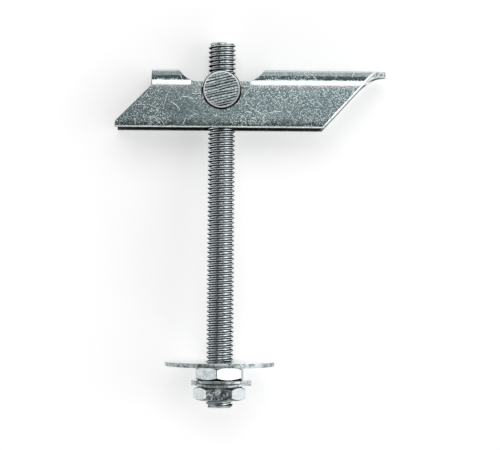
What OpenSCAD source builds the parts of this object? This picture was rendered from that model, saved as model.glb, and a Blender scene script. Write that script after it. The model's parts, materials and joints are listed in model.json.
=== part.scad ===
// Gravity toggle bolt: a threaded rod, a folded channel bar that tilts on a cross nut, and the
// washers and thin nuts that clamp a panel from the other side.
//
// Working frame: origin on the bar's pivot axis, z along the rod, y along the pivot axis, x along the bar.
// The finished part lies on its side, as it comes to rest, on the bar's bend and the wide washer's rim.

/* [Rod] */
// Size of the rod's thread, over its crests
rod_d = 6; // [5:0.5:8]
// Whole length of the rod
rod_l = 80; // [70:5:150]
// How far the rod stands past the pivot axis
rod_stub = 10.6; // [8:0.1:14]
// How far the rod stands past the lower nut
rod_proud = 1.6; // [0.5:0.1:6]
// Chamfer on both ends of the rod
rod_chamfer = 0.6; // [0.3:0.1:1]

/* [Cross nut] */
// Wall left beside the threaded hole in the cross nut
pivot_wall = 1.25; // [1:0.05:2]
// How far each end of the cross nut sits inside the bar's wall
pivot_recess = 0.45; // [0.3:0.05:0.8]
// Chamfer round each end of the cross nut
pivot_chamfer = 0.35; // [0.1:0.05:0.6]

/* [Bar] */
// Thickness of the bar's sheet
sheet_t = 1.5; // [1:0.1:2]
// Inner radius of the bar's two bends
bend_in = 2.3; // [1.5:0.1:2.9]
// Depth of the bearing edges below the pivot axis
edge_drop = 8.3; // [6:0.1:11]
// Bearing edge from the pivot to its end on the tail side
tail_edge = 23.2; // [18:0.1:35]
// Bearing edge from the pivot to its end on the nose side
nose_edge = 22.2; // [18:0.1:35]
// Short square end of the wall at the tail
tail_land = 1.2; // [0.5:0.1:3]
// Angle of the tail's slanted cut to the bar's length
tail_angle = 45; // [35:1:60]
// Angle of the nose's slanted cut to the bar's length
nose_angle = 47.5; // [40:0.5:65]
// Width of the flat facet along the outside of the nose's slanted cut
nose_facet = 0.35; // [0.2:0.05:0.9]
// Angle the bar swings each way before the rod meets the end of its window
swing_angle = 47.3; // [30:0.1:55]
// Corner radius of the window, on the flat blank
window_r = 4; // [2:0.1:4]
// Height of the cradle walls above the pivot axis
cradle_h = 1.75; // [1.2:0.05:2.4]
// Width of the punch mark that closes the cradle on the cross nut
stake_w = 2.2; // [1:0.1:3]
// Height of the punch mark
stake_h = 2.8; // [1:0.1:4]
// Depth of the punch mark
stake_deep = 0.15; // [0.05:0.05:0.4]
// Width of the lighter mark on the nose side, as a share of the tail side's
light_stake_w = 0.8; // [0.4:0.1:1]
// Height of the lighter mark, as a share of the tail side's
light_stake_h = 0.4; // [0.2:0.1:1]

/* [Wide washer] */
// Diameter of the wide washer
wide_d = 24; // [16:0.5:40]
// Thickness of the wide washer
wide_t = 1; // [0.6:0.1:2]

/* [Small washers] */
// Diameter of the two small washers
small_d = 13.2; // [12:0.1:16]
// Thickness of the flat washer
flat_t = 0.6; // [0.4:0.1:1.6]
// Thickness of the wave washer's strip
wave_t = 0.5; // [0.3:0.05:0.8]
// Height of the wave washer, over its waves
wave_h = 0.8; // [0.6:0.05:1.6]

/* [Nuts] */
// Width of the thin nuts across their flats
nut_af = 10; // [9:0.5:14]
// Height of the thin nuts
nut_h = 3; // [2.4:0.1:5]
// Upper nut's turn about the rod
upper_turn = 25; // [0:1:59]
// Lower nut's turn about the rod
lower_turn = 0; // [0:1:59]

/* [Fits] */
// Running clearance between a shaft and its hole, on the radius
run_gap = 0.05; // [0.02:0.01:0.1]
// Clearance round the cross nut in the bar's punched holes
pivot_gap = 0.15; // [0.05:0.05:0.3]
// Clearance beside the rod when the bar folds over it
channel_gap = 0.5; // [0.2:0.05:1]
// Clearance between the rod and the bar's web when the bar folds over it
nest_gap = 0.1; // [0.05:0.05:0.5]
// Play of the washers on the rod, on the radius
washer_play = 0.4; // [0.2:0.05:0.8]

/* [Hidden] */
$fn = 96;
past = 1;                                   // how far a cutting shape runs past what it cuts
near = 0.05;                                // cutter stations nearer than this count as one

// Rod and cross nut
rod_r = rod_d / 2;
bore_r = rod_r + run_gap;
pivot_r = rod_r + pivot_wall;

// Bar's section: a channel with its web above the rod
bar_in = rod_d + 2 * channel_gap;           // between the walls
bar_w = bar_in + 2 * sheet_t;               // over the walls
web_in = rod_r + nest_gap;                  // underside of the web
web_top = web_in + sheet_t;
bend_out = bend_in + sheet_t;
bend_mid = bend_in + sheet_t / 2;
bend_z = web_in - bend_in;                  // height of the bends' centres
web_flat = bar_w - 2 * bend_out;            // flat strip of web between the bends
pivot_l = bar_w - 2 * pivot_recess;

// Bar's flat blank, measured across from its centreline along the middle of the sheet
bend_len = bend_mid * PI / 2;
wall_from = web_flat / 2 + bend_len;        // where the flat wall begins
edge_from = wall_from + bend_z + edge_drop; // the bearing edge
nose_x = nose_edge + edge_from / tan(nose_angle);
window_l = 2 * (web_top * tan(swing_angle) + rod_r / cos(swing_angle));
window_half = web_flat / 2 + bend_mid * acos((cradle_h - bend_z) / bend_out) * PI / 180;
cut_n = sheet_t / 2 + bend_in / 2;          // half thickness of a cutter laid along the sheet
bend_steps = 12;

// Stack on the rod's lower end, each value the underside of its piece
lower_z = rod_stub - rod_l + rod_proud;
wave_z = lower_z + nut_h;
flat_z = wave_z + wave_h;
upper_z = flat_z + flat_t;
wide_z = upper_z + nut_h;
wide_top = wide_z + wide_t;
small_shift = washer_play - run_gap;        // the small washers sit over to one side of the rod

// How the part lies: on the bend of the bar's lower wall and on the rim of the wide washer
rim_y = wide_d / 2 - web_flat / 2;
rim_z = bend_z - wide_top;
lie_tilt = acos(bend_out / norm([rim_y, rim_z])) - atan2(rim_z, rim_y);
lie_h = bend_out + web_flat / 2 * cos(lie_tilt) + bend_z * sin(lie_tilt);
lie_x = (nose_x - tail_edge) / 2;
lie_y = (rod_stub - rod_l / 2) * cos(lie_tilt);

module lie() {
    translate([-lie_x, -lie_y, lie_h]) rotate([-90 - lie_tilt, 0, 0]) children();
}

// A turned piece: half its section, spun about z
module turned(points) {
    rotate_extrude() polygon(points);
}

module threaded_rod() {
    c = rod_chamfer;
    low = rod_stub - rod_l;
    color([0.60, 0.61, 0.62]) lie()
        turned([[0, low], [rod_r - c, low], [rod_r, low + c],
                [rod_r, rod_stub - c], [rod_r - c, rod_stub], [0, rod_stub]]);
}

module pivot_nut() {
    c = pivot_chamfer;
    half = pivot_l / 2;
    color([0.66, 0.67, 0.68]) lie() difference() {
        rotate([90, 0, 0])
            turned([[0, -half], [pivot_r - c, -half], [pivot_r, c - half],
                    [pivot_r, half - c], [pivot_r - c, half], [0, half]]);
        cylinder(r = bore_r, h = 2 * (pivot_r + past), center = true);
    }
}

// A point of the folded sheet: x along the bar, s across the blank, n out from the sheet's middle
function folded(x, s, n) =
    let (a = abs(s), side = s < 0 ? -1 : 1)
    a <= web_flat / 2 ? [x, s, web_in + sheet_t / 2 + n] :
    a <= wall_from ?
        let (turn = (a - web_flat / 2) / bend_len * 90)
        [x, side * (web_flat / 2 + (bend_mid + n) * sin(turn)), bend_z + (bend_mid + n) * cos(turn)] :
        [x, side * (web_flat / 2 + bend_mid + n), bend_z + wall_from - a];

// Distances across the blank in rising order, each kept once
function in_order(list) = len(list) < 2 ? list :
    let (middle = list[floor(len(list) / 2)])
    concat(in_order([for (v = list) if (v < middle - near) v]), [middle],
           in_order([for (v = list) if (v > middle + near) v]));

function both_sides(half) = concat([for (i = [len(half) - 1 : -1 : 1]) -half[i]], half);

// Cutter that follows the sheet round its bends: rows of [s, its section there as [x, n] points]
module sheet_cut(rows) {
    count = len(rows[0][1]);
    points = [for (r = rows, p = r[1]) folded(p[0], r[0], p[1])];
    last = count * (len(rows) - 1);
    skin = [for (i = [0 : count : last - count], k = [0 : count - 1])
        let (a = i + k, b = i + (k + 1) % count)
        each [[a, a + count, b], [b, a + count, b + count]]];
    ends = [for (k = [1 : count - 2])
        each [[0, k, k + 1], [last + k + 1, last + k, last]]];
    polyhedron(points, concat(skin, ends), convexity = 4);
}

// Square section of a cutter, from one x to another
function square_cut(x_from, x_to) = [[x_from, -cut_n], [x_from, cut_n], [x_to, cut_n], [x_to, -cut_n]];

// Section of the nose's cutter, which also takes the facet off the sheet's outer corner. The facet
// fades out as it goes round the bend, to a fifth of its width along the web.
function faceted_cut(s) =
    let (x = nose_x - abs(s) / tan(nose_angle), past_web = max(0, abs(s) - web_flat / 2),
         below = sheet_t / 2 - nose_facet * min(1, 0.2 + past_web / (0.6 * bend_len)),
         back = (cut_n - below) / sin(nose_angle), far = nose_x + past)
    [[x, -cut_n], [x, below], [x - back, cut_n], [far, cut_n], [far, -cut_n]];

// Half length of the window at a distance across the blank
function window_at(s) =
    let (over = max(0, abs(s) - (window_half - window_r)))
    window_l / 2 - window_r + sqrt(max(0, window_r * window_r - over * over));

// End of the tail at a distance across the blank: slanted walls and a square web
function tail_at(s) =
    -tail_edge + max(0, min(edge_from - tail_land - abs(s), bend_z + edge_drop - tail_land)) / tan(tail_angle);

module channel_section(width, radius, top) {
    square_z = top - radius;
    translate([-width / 2, -edge_drop]) square([width, square_z + edge_drop]);
    translate([radius - width / 2, -edge_drop]) square([width - 2 * radius, top + edge_drop]);
    for (side = [-1, 1]) translate([side * (width / 2 - radius), square_z]) circle(r = radius);
}

// Punch marks beside the cradle: side of the pivot, width, depth below the cradle's top
module stake_marks() {
    marks = [[-1, stake_w, stake_h], [1, stake_w * light_stake_w, stake_h * light_stake_h]];
    for (wall = [-1, 1], m = marks)
        translate([m[0] * (pivot_r + m[1] / 2), wall * (bar_w / 2 - stake_deep + past), cradle_h - m[2] / 2])
            cube([m[1], 2 * past, m[2]], center = true);
}

module toggle_bar() {
    bend_at = [for (i = [0 : bend_steps]) web_flat / 2 + bend_len * i / bend_steps];
    corner_at = [for (i = [0 : bend_steps]) window_half - window_r * (1 - sin(90 * i / bend_steps))];
    end_steps = both_sides(in_order([0, each bend_at, edge_from - tail_land, edge_from + past]));
    window_steps = both_sides(in_order([0, each [for (s = bend_at) if (s < window_half) s],
                                        each [for (s = corner_at) if (s > 0) s]]));
    color([0.55, 0.60, 0.62]) lie() difference() {
        translate([-tail_edge, 0, 0]) rotate([90, 0, 90])
            linear_extrude(nose_x + tail_edge) difference() {
                channel_section(bar_w, bend_out, web_top);
                translate([0, -past]) channel_section(bar_in, bend_in, web_in + past);
            }
        sheet_cut([for (s = end_steps) [s, faceted_cut(s)]]);
        sheet_cut([for (s = end_steps) [s, square_cut(-tail_edge - past, tail_at(s))]]);
        sheet_cut([for (s = window_steps) [s, square_cut(-window_at(s), window_at(s))]]);
        rotate([90, 0, 0]) cylinder(r = pivot_r + pivot_gap, h = bar_w + 2 * past, center = true);
        stake_marks();
    }
}

module washer(outer, bore, thick) {
    roll = thick / 6;                        // lower rim, rolled by the stamping
    turned([[bore, 0], [outer - roll, 0], [outer, roll], [outer, thick], [bore, thick]]);
}

module wide_washer() {
    color([0.78, 0.80, 0.81]) lie() translate([0, 0, wide_z])
        washer(wide_d / 2, rod_r + washer_play, wide_t);
}

module flat_washer() {
    color([0.74, 0.77, 0.78]) lie() translate([small_shift, 0, flat_z])
        washer(small_d / 2, rod_r + washer_play, flat_t);
}

// Spring washer with three waves, its bore and rim following the same wave
module wave_washer() {
    count = 72;
    waves = 3;
    wave_turn = -93;                         // one low point faces out of the bar's wall
    outer = small_d / 2;
    bore = rod_r + washer_play;
    rise = (wave_h - wave_t) / 2;
    points = [for (i = [0 : count - 1])
        let (a = i * 360 / count, z = rise * (1 - cos(waves * (a - wave_turn))))
        each [for (p = [[bore, 0], [outer, 0], [outer, wave_t], [bore, wave_t]])
            [p[0] * cos(a), p[0] * sin(a), z + p[1]]]];
    faces = [for (i = [0 : count - 1], k = [0 : 3])
        let (a = 4 * i + k, b = 4 * i + (k + 1) % 4, c = 4 * ((i + 1) % count) + k,
             d = 4 * ((i + 1) % count) + (k + 1) % 4)
        each [[a, b, c], [b, d, c]]];
    color([0.70, 0.73, 0.74]) lie() translate([small_shift, 0, wave_z])
        polyhedron(points, faces, convexity = 4);
}

// Thin hexagon nut, chamfered on both faces, standing on z = 0
module thin_nut(turn) {
    corner_r = nut_af / sqrt(3);
    face_r = nut_af * 0.475;                 // round face left inside the chamfer
    blank_r = corner_r + 0.2;                // the chamfer cone runs past the corners
    chamfer = (blank_r - face_r) * tan(30);
    sink = 0.3;                              // countersink of the thread
    difference() {
        intersection() {
            rotate([0, 0, turn]) cylinder(r = corner_r, h = nut_h, $fn = 6);
            turned([[0, 0], [face_r, 0], [blank_r, chamfer],
                    [blank_r, nut_h - chamfer], [face_r, nut_h], [0, nut_h]]);
        }
        turned([[0, -past], [bore_r + sink + past, -past], [bore_r, sink], [bore_r, nut_h - sink],
                [bore_r + sink + past, nut_h + past], [0, nut_h + past]]);
    }
}

module upper_nut() {
    color([0.80, 0.82, 0.83]) lie() translate([0, 0, upper_z]) thin_nut(upper_turn);
}

module lower_nut() {
    color([0.72, 0.74, 0.75]) lie() translate([0, 0, lower_z]) thin_nut(lower_turn);
}

threaded_rod();
pivot_nut();
toggle_bar();
wide_washer();
upper_nut();
flat_washer();
wave_washer();
lower_nut();
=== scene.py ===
# A gravity toggle bolt in zinc-plated steel: an M6 rod, a folded channel bar that tilts on a sawn
# cross nut, and a stack of washers and thin nuts. It lies on its side, as it comes to rest, and the
# camera looks straight down on it.
import json
from math import acos, atan2, ceil, copysign, cos, hypot, pi, radians, sin, sqrt, tan

import bmesh
import bpy
from mathutils import Matrix, Vector, noise


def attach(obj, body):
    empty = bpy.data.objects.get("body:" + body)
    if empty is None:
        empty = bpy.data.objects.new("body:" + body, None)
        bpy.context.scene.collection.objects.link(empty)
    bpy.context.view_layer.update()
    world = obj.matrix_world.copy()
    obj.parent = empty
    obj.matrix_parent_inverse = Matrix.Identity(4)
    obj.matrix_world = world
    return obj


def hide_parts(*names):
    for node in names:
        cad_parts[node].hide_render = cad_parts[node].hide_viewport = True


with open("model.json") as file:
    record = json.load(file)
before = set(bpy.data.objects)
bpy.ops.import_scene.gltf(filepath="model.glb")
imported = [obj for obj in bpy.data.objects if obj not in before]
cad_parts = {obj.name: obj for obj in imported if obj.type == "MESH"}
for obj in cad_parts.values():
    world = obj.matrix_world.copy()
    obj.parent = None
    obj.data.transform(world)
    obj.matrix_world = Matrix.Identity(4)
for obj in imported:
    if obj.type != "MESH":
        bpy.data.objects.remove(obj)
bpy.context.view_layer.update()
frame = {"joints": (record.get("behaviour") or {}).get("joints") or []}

# ---- Sizes, in millimetres
# Each piece is made about the bar's pivot axis: x along the bar, y along the pivot axis and away
# from the viewer, z along the rod.
ROD_R = 3.0
ROD_TOP = 10.6
ROD_LOW = -69.4
ROD_CHAMFER = 0.6
PITCH = 1.0
THREAD_DEPTH = 0.6134 * PITCH
ROOT_R = ROD_R - THREAD_DEPTH
RUN_GAP = 0.05  # play between the rod and a bore

CROSS_NUT_R = 4.25
CROSS_NUT_L = 9.1
CROSS_NUT_CHAMFER = 0.35
SAWN_R = CROSS_NUT_R - CROSS_NUT_CHAMFER

SHEET_T = 1.5
BEND_IN = 2.3
BEND_OUT = BEND_IN + SHEET_T
BEND_MID = BEND_IN + SHEET_T / 2
BEND_Z = 0.8  # height of the bends' centres
WEB_FLAT = 2.4  # flat strip of web between the bends
WALL_Y = WEB_FLAT / 2 + BEND_OUT
EDGE_DROP = 8.3  # from the bends' centres down to the long lower edges
TAIL_EDGE = 23.2
NOSE_EDGE = 22.2
TAIL_LAND = 1.2
TAIL_ANGLE = radians(45)
NOSE_ANGLE = radians(47.5)
SWING_ANGLE = radians(47.3)
WINDOW_R = 4.0
CRADLE_H = 1.75
HOLE_R = 4.4  # punched hole round the cross nut
NOSE_FACET = 0.35  # flat facet along the nose's slanted cut
LONG_EDGE = 0.22  # worn roundings of the other outer edges
SHEARED_EDGE = 0.15
MARK_DEPTH = 0.2
CRADLE_MARKS = ((-1, 2.2, 2.8), (1, 1.76, 1.12))  # side of the pivot, width, height

WIDE_D, WIDE_T, WIDE_Z = 24.0, 1.0, -60.4
SMALL_D, FLAT_T, FLAT_Z = 13.2, 0.6, -64.0
WAVE_T, WAVE_RISE, WAVE_Z = 0.5, 0.15, -64.8
WAVES, WAVE_TURN = 3, radians(-93)
WASHER_BORE = 3.4
SMALL_SHIFT = 0.35
NUT_AF, NUT_H = 10.0, 3.0
UPPER_NUT_Z, UPPER_NUT_TURN = -63.4, radians(25)
LOWER_NUT_Z, LOWER_NUT_TURN = -67.8, 0.0
NUT_BORE = ROD_R + RUN_GAP

# ---- Where the bolt lies
JOINTS = {joint["name"]: joint for joint in frame["joints"]}
PIVOT = Vector(JOINTS["bar_fold"]["pos_m"])
PIN_AXIS = Vector(JOINTS["bar_fold"]["axis"]).normalized()
ROD_AXIS = Vector(JOINTS["pivot_slide"]["axis"]).normalized()
BAR_AXIS = Vector((1, 0, 0))
UP = Vector((0, 0, 1))
MM = 0.001


AXES = Matrix((BAR_AXIS, -PIN_AXIS, ROD_AXIS)).transposed()
# From millimetres about the pivot to metres where the bolt lies.
LAID = Matrix.Translation(PIVOT) @ AXES.to_4x4() @ Matrix.Scale(MM, 4)
LAID_TURN = LAID.to_3x3().normalized()

# ---- Mesh helpers
FLAT_FACE_WEIGHT = 90
BLANK_SNAP = 1e-4  # how near a cut a corner counts as on it
CUT_SNAP = 1e-5


def add_object(name, data):
    made = bpy.data.objects.new(name, data)
    bpy.context.scene.collection.objects.link(made)
    return made


def add_mesh(name, bm):
    """Turns a bmesh into an object, and frees it."""
    mesh = bpy.data.meshes.new(name)
    bm.to_mesh(mesh)
    bm.free()
    return add_object(name, mesh)


def finish_piece(name, bm, body, cad_node, material, crease=32):
    """Turns a mesh in millimetres into a named piece that rides on its body."""
    bmesh.ops.recalc_face_normals(bm, faces=bm.faces)
    bm.transform(LAID)
    piece = add_mesh(name, bm)
    shade_smooth(piece.data, crease)
    piece.data.materials.append(material)
    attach(piece, body)
    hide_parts(cad_node)
    return piece


def shade_smooth(mesh, crease):
    """Smooth shading, but for edges sharper than an angle in degrees."""
    mesh.polygons.foreach_set("use_smooth", [True] * len(mesh.polygons))
    mesh.set_sharp_from_angle(angle=radians(crease))


def set_all(thing, settings):
    for key, value in settings.items():
        setattr(thing, key, value)


def modify(piece, name, kind, **settings):
    """Adds a modifier to a piece and applies it."""
    set_all(piece.modifiers.new(name, kind), settings)
    bpy.context.view_layer.update()
    shaped = piece.evaluated_get(bpy.context.evaluated_depsgraph_get())
    mesh = bpy.data.meshes.new_from_object(shaped)
    piece.modifiers.clear()
    old = piece.data
    piece.data = mesh
    bpy.data.meshes.remove(old)
    mesh.name = piece.name


def flatten_faces(piece):
    """Keeps the large faces flat in shading where they meet small rounded edges."""
    modify(piece, "flat_faces", "WEIGHTED_NORMAL", keep_sharp=True, weight=FLAT_FACE_WEIGHT)


def subtract(piece, bm):
    """Cuts a closed mesh, in millimetres, out of a piece."""
    bm.transform(LAID)
    cutter = add_mesh("cutter", bm)
    modify(piece, "cut", "BOOLEAN", operation="DIFFERENCE", solver="EXACT", object=cutter)
    bpy.data.objects.remove(cutter)


def whole(bm):
    return bm.verts[:] + bm.edges[:] + bm.faces[:]


def bridge(bm, low, high):
    """Joins two closed loops of corners with faces."""
    for k in range(len(low)):
        m = (k + 1) % len(low)
        bm.faces.new((low[k], high[k], high[m], low[m]))


def ring_of_sections(sections):
    """Closed ring of closed sections, each a list of points."""
    bm = bmesh.new()
    rows = [[bm.verts.new(p) for p in section] for section in sections]
    for row, after in zip(rows, rows[1:] + rows[:1]):
        bridge(bm, row, after)
    return bm


def circle(steps):
    """Angles all the way round."""
    return [2 * pi * i / steps for i in range(steps)]


def arc(centre, radius, start, end, steps):
    """Points on an arc, with its angles in degrees."""
    angles = [radians(start + (end - start) * i / steps) for i in range(steps + 1)]
    return [(centre[0] + radius * cos(a), centre[1] + radius * sin(a)) for a in angles]


# ---- Threaded rod
THREAD_STEPS = 40
SPARE_TURNS = 2  # cut off again at each end
ROOT_FORM = ((0.0, 0.0), (0.07, 0.012), (0.125, 0.07), (0.28, 0.34))  # share of pitch, rise
CREST_FORM = ((0.43, 0.045), (0.47, 0.008))  # share of pitch, drop


def thread_profile():
    """One pitch of the rolled thread, as pairs of (share of the pitch, radius)."""
    half = [(share, ROOT_R + rise) for share, rise in ROOT_FORM]
    half += [(share, ROD_R - drop) for share, drop in CREST_FORM]
    return half + [(0.5, ROD_R)] + [(1 - share, r) for share, r in reversed(half[1:])]


def thread_rows(bm, count):
    """The corners of the thread, a row to each step of the helix."""
    start = ROD_LOW - SPARE_TURNS * PITCH
    profile = thread_profile()
    rows = []
    for i in range(count + 1):
        a = 2 * pi * i / THREAD_STEPS
        row = []
        for share, r in profile:
            z = start + PITCH * (i / THREAD_STEPS + share)
            from_end = min(z - ROD_LOW, ROD_TOP - z)
            r = min(r, ROD_R - ROD_CHAMFER + max(from_end, -1))
            row.append(bm.verts.new((r * cos(a), r * sin(a), z)))
        rows.append(row)
    return rows


def rod_mesh():
    count = THREAD_STEPS * (ceil((ROD_TOP - ROD_LOW) / PITCH) + 2 * SPARE_TURNS)
    bm = bmesh.new()
    rows = thread_rows(bm, count)
    for i in range(count - THREAD_STEPS):
        turn_up = i + THREAD_STEPS
        low = rows[i] + rows[turn_up][:1]
        high = rows[i + 1] + rows[turn_up + 1][:1]
        for k in range(len(rows[i])):
            bm.faces.new((low[k], high[k], high[k + 1], low[k + 1]))
    loose = [v for v in bm.verts if not v.link_faces]
    bmesh.ops.delete(bm, geom=loose, context="VERTS")
    for height, side in ((ROD_LOW, -1), (ROD_TOP, 1)):
        cut = bmesh.ops.bisect_plane(
            bm, geom=whole(bm), dist=CUT_SNAP, plane_co=(0, 0, height), plane_no=(0, 0, side),
            clear_outer=True)
        rim = [e for e in cut["geom_cut"] if isinstance(e, bmesh.types.BMEdge)]
        bmesh.ops.contextual_create(bm, geom=rim)
    return bm


# ---- Folded bar
BEND_LEN = BEND_MID * pi / 2
WALL_FROM = WEB_FLAT / 2 + BEND_LEN
EDGE_FROM = WALL_FROM + BEND_Z + EDGE_DROP
WEB_TOP = BEND_Z + BEND_OUT
NOSE_X = NOSE_EDGE + EDGE_FROM / tan(NOSE_ANGLE)
NOSE_LINE = NOSE_X - (WALL_FROM + BEND_Z) / tan(NOSE_ANGLE)
TAIL_WEB = -TAIL_EDGE + (BEND_Z + EDGE_DROP - TAIL_LAND) / tan(TAIL_ANGLE)
WINDOW_HALF_L = WEB_TOP * tan(SWING_ANGLE) + ROD_R / cos(SWING_ANGLE)
WINDOW_HALF_S = WEB_FLAT / 2 + BEND_MID * acos((CRADLE_H - BEND_Z) / BEND_OUT)
BEND_STEPS = 10
HOLE_STEPS = 40
WINDOW_STEPS = 8
NEAR = 1e-2  # how near a line a corner counts as on it
FACET_START = 0.2  # the facet's share of its width on the web
FACET_GROWTH = 0.6 * BEND_LEN  # how far round the bend it grows
LONG_SHARE = LONG_EDGE / NOSE_FACET
NOSE_ONLY = 1.01 * LONG_SHARE  # a wider bevel than the long edges' is on the nose
INNER_SHARE, INNER_NOSE_SHARE = 0.6, 0.3


def folded(x, s, n):
    """A point of the folded sheet: x along the bar, s across the blank, n out from its middle."""
    across = abs(s)
    side = -1 if s < 0 else 1
    if across <= WEB_FLAT / 2:
        return Vector((x, s, WEB_TOP - SHEET_T / 2 + n))
    reach = BEND_MID + n
    if across <= WALL_FROM:
        turn = (across - WEB_FLAT / 2) / BEND_MID
        y = side * (WEB_FLAT / 2 + reach * sin(turn))
        return Vector((x, y, BEND_Z + reach * cos(turn)))
    return Vector((x, side * (WEB_FLAT / 2 + reach), BEND_Z + WALL_FROM - across))


def across_at(z):
    """Distance across the blank at which the sheet's middle is at height z."""
    if z <= BEND_Z:
        return WALL_FROM + BEND_Z - z
    return WEB_FLAT / 2 + BEND_MID * acos((z - BEND_Z) / BEND_MID)


def blank_outline():
    half = [(NOSE_X, 0), (NOSE_EDGE, EDGE_FROM), (-TAIL_EDGE, EDGE_FROM),
            (-TAIL_EDGE, EDGE_FROM - TAIL_LAND), (TAIL_WEB, WALL_FROM)]
    return half + [(x, -s) for x, s in reversed(half[1:])]


def hole_arc():
    """The punched hole on one wall, from its nose side round under the cross nut."""
    middle_z = BEND_Z + BEND_MID * (CRADLE_H - BEND_Z) / BEND_OUT
    start = acos(middle_z / HOLE_R)  # from straight up to the cradle
    angles = [start + (2 * pi - 2 * start) * i / HOLE_STEPS for i in range(HOLE_STEPS + 1)]
    return [(HOLE_R * sin(a), across_at(HOLE_R * cos(a))) for a in angles]


def window_outline():
    """The window and both punched holes, which are one opening in the blank."""
    centre = (WINDOW_HALF_L - WINDOW_R, WINDOW_HALF_S - WINDOW_R)
    corner = arc(centre, WINDOW_R, 0, 90, WINDOW_STEPS)
    side = corner + hole_arc() + [(-x, s) for x, s in reversed(corner)]
    return side + [(-x, -s) for x, s in side]


def blank_mesh():
    """The flat blank as faces that meet along the bends' lines."""
    bm = bmesh.new()
    edges = []
    for outline in (blank_outline(), window_outline()):
        corners = [bm.verts.new((x, s, 0)) for x, s in outline]
        edges += [bm.edges.new((a, b)) for a, b in zip(corners, corners[1:] + corners[:1])]
    bmesh.ops.triangle_fill(bm, use_beauty=True, use_dissolve=False, edges=edges)
    stations = [WEB_FLAT / 2 + BEND_LEN * i / BEND_STEPS for i in range(BEND_STEPS + 1)]
    for station in stations + [-s for s in stations] + [0]:
        bmesh.ops.bisect_plane(bm, geom=whole(bm), dist=BLANK_SNAP,
                               plane_co=(0, station, 0), plane_no=(0, 1, 0))
    slanting = [e for e in bm.edges if len(e.link_faces) == 2
                and abs(e.verts[0].co.y - e.verts[1].co.y) > BLANK_SNAP]
    bmesh.ops.dissolve_edges(bm, edges=slanting, use_verts=False)
    return bm


def on_hole(x, s):
    """Whether a corner of the blank is on the edge of a punched hole."""
    if abs(s) < WINDOW_HALF_S - NEAR / 10:
        return False
    return abs(hypot(x, folded(x, s, 0).z) - HOLE_R) < NEAR


def sheet_point(x, s, n):
    """As folded, but the punched holes run straight through the bent sheet."""
    point = folded(x, s, n)
    if on_hole(x, s):
        point.x = copysign(sqrt(max(0, HOLE_R ** 2 - point.z ** 2)), x)
    return point


def bright_share(a, b):
    """Width of the bright bevel on an outer edge, as a share of the nose's facet."""
    if all(abs(p.x - NOSE_X + abs(p.y) / tan(NOSE_ANGLE)) < NEAR for p in (a, b)):
        past_web = max(0.0, abs(a.y + b.y) / 2 - WEB_FLAT / 2)
        return min(1.0, FACET_START + past_web / FACET_GROWTH)
    if all(abs(abs(p.y) - EDGE_FROM) < NEAR for p in (a, b)):
        return LONG_SHARE
    return 0.0


def bar_mesh():
    """The folded bar, with the width of each edge's bevel kept for round_sheet_edges."""
    flat = blank_mesh()
    bm = bmesh.new()
    outer, inner = {}, {}
    for v in flat.verts:
        outer[v] = bm.verts.new(sheet_point(v.co.x, v.co.y, SHEET_T / 2))
        inner[v] = bm.verts.new(sheet_point(v.co.x, v.co.y, -SHEET_T / 2))
    for face in flat.faces:
        bm.faces.new([outer[v] for v in face.verts])
        bm.faces.new([inner[v] for v in reversed(face.verts)])
    bright = bm.edges.layers.float.new("bright_edge")
    sheared = bm.edges.layers.float.new("sheared_edge")
    for edge in flat.edges:
        if len(edge.link_faces) == 1:
            a, b = edge.verts
            bm.faces.new((outer[a], inner[a], inner[b], outer[b]))
            share = bright_share(a.co, b.co)
            outer_edge = bm.edges.get((outer[a], outer[b]))
            inner_edge = bm.edges.get((inner[a], inner[b]))
            outer_edge[bright] = share
            if share == 0 and not on_hole(a.co.x, a.co.y):
                outer_edge[sheared] = 1.0
            inner_edge[sheared] = INNER_NOSE_SHARE if share > NOSE_ONLY else INNER_SHARE
    flat.free()
    return bm


def bevel_edges(piece, layer, width, segments, profile, material):
    """Bevels the edges that a layer gives a width to, in a material of their own."""
    piece.data.materials.append(material)
    modify(piece, layer, "BEVEL", limit_method="WEIGHT", edge_weight=layer, width=width * MM,
           segments=segments, profile=profile, use_clamp_overlap=False,
           material=len(piece.data.materials) - 1)


def round_sheet_edges(piece):
    """Bevels on the nose and long edges, in a pale steel that paints a highlight on them, and small
    ones on the sheared and inner edges, in a near-black steel that paints shade.
    """
    bevel_edges(piece, "bright_edge", NOSE_FACET, 4, 0.3, EDGE_STEEL)
    bevel_edges(piece, "sheared_edge", SHEARED_EDGE, 2, 0.5, RIM_STEEL)


MARK_TAPER = ((0.0, 0.22), (0.4, 0.25))  # depth out from a mark's floor, spread of its sides


def mark_cutter(wall, side, width, height):
    """The punch's end: a short block that widens outwards."""
    x = side * (CROSS_NUT_R + width / 2)
    z = CRADLE_H - height / 2
    bm = bmesh.new()
    rings = []
    for depth, spread in MARK_TAPER:
        y = wall * (WALL_Y - MARK_DEPTH + depth)
        u, v = width / 2 + spread, height / 2 + spread
        corners = ((x - u, z - v), (x + u, z - v), (x + u, z + v), (x - u, z + v))
        rings.append([bm.verts.new((across, y, up)) for across, up in corners])
    for ring in rings:
        bm.faces.new(ring)
    bridge(bm, rings[0], rings[1])
    bmesh.ops.recalc_face_normals(bm, faces=bm.faces)
    return bm


def punch_cradle_marks(piece):
    """Punch marks beside the cross nut, where the cradle was closed on it."""
    for wall in (-1, 1):
        for side, width, height in CRADLE_MARKS:
            subtract(piece, mark_cutter(wall, side, width, height))


# ---- Cross nut
CROSS_NUT_STEPS = 96
BORE_STEPS = 72
SAW_ANGLE = radians(13.6)
SAW_ACROSS = Vector((-sin(SAW_ANGLE), 0, cos(SAW_ANGLE)))
SAW_ALONG = Vector((cos(SAW_ANGLE), 0, sin(SAW_ANGLE)))
SAW_DEPTH = 0.012
SAW_SPACING = 0.58  # from one dark stroke to the next
SAW_SLICE = 0.09  # the end faces are cut this finely to be shaped
SAW_WIDE, SAW_FINE = 1.7, 5.5  # how quickly the two kinds of stroke change


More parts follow.
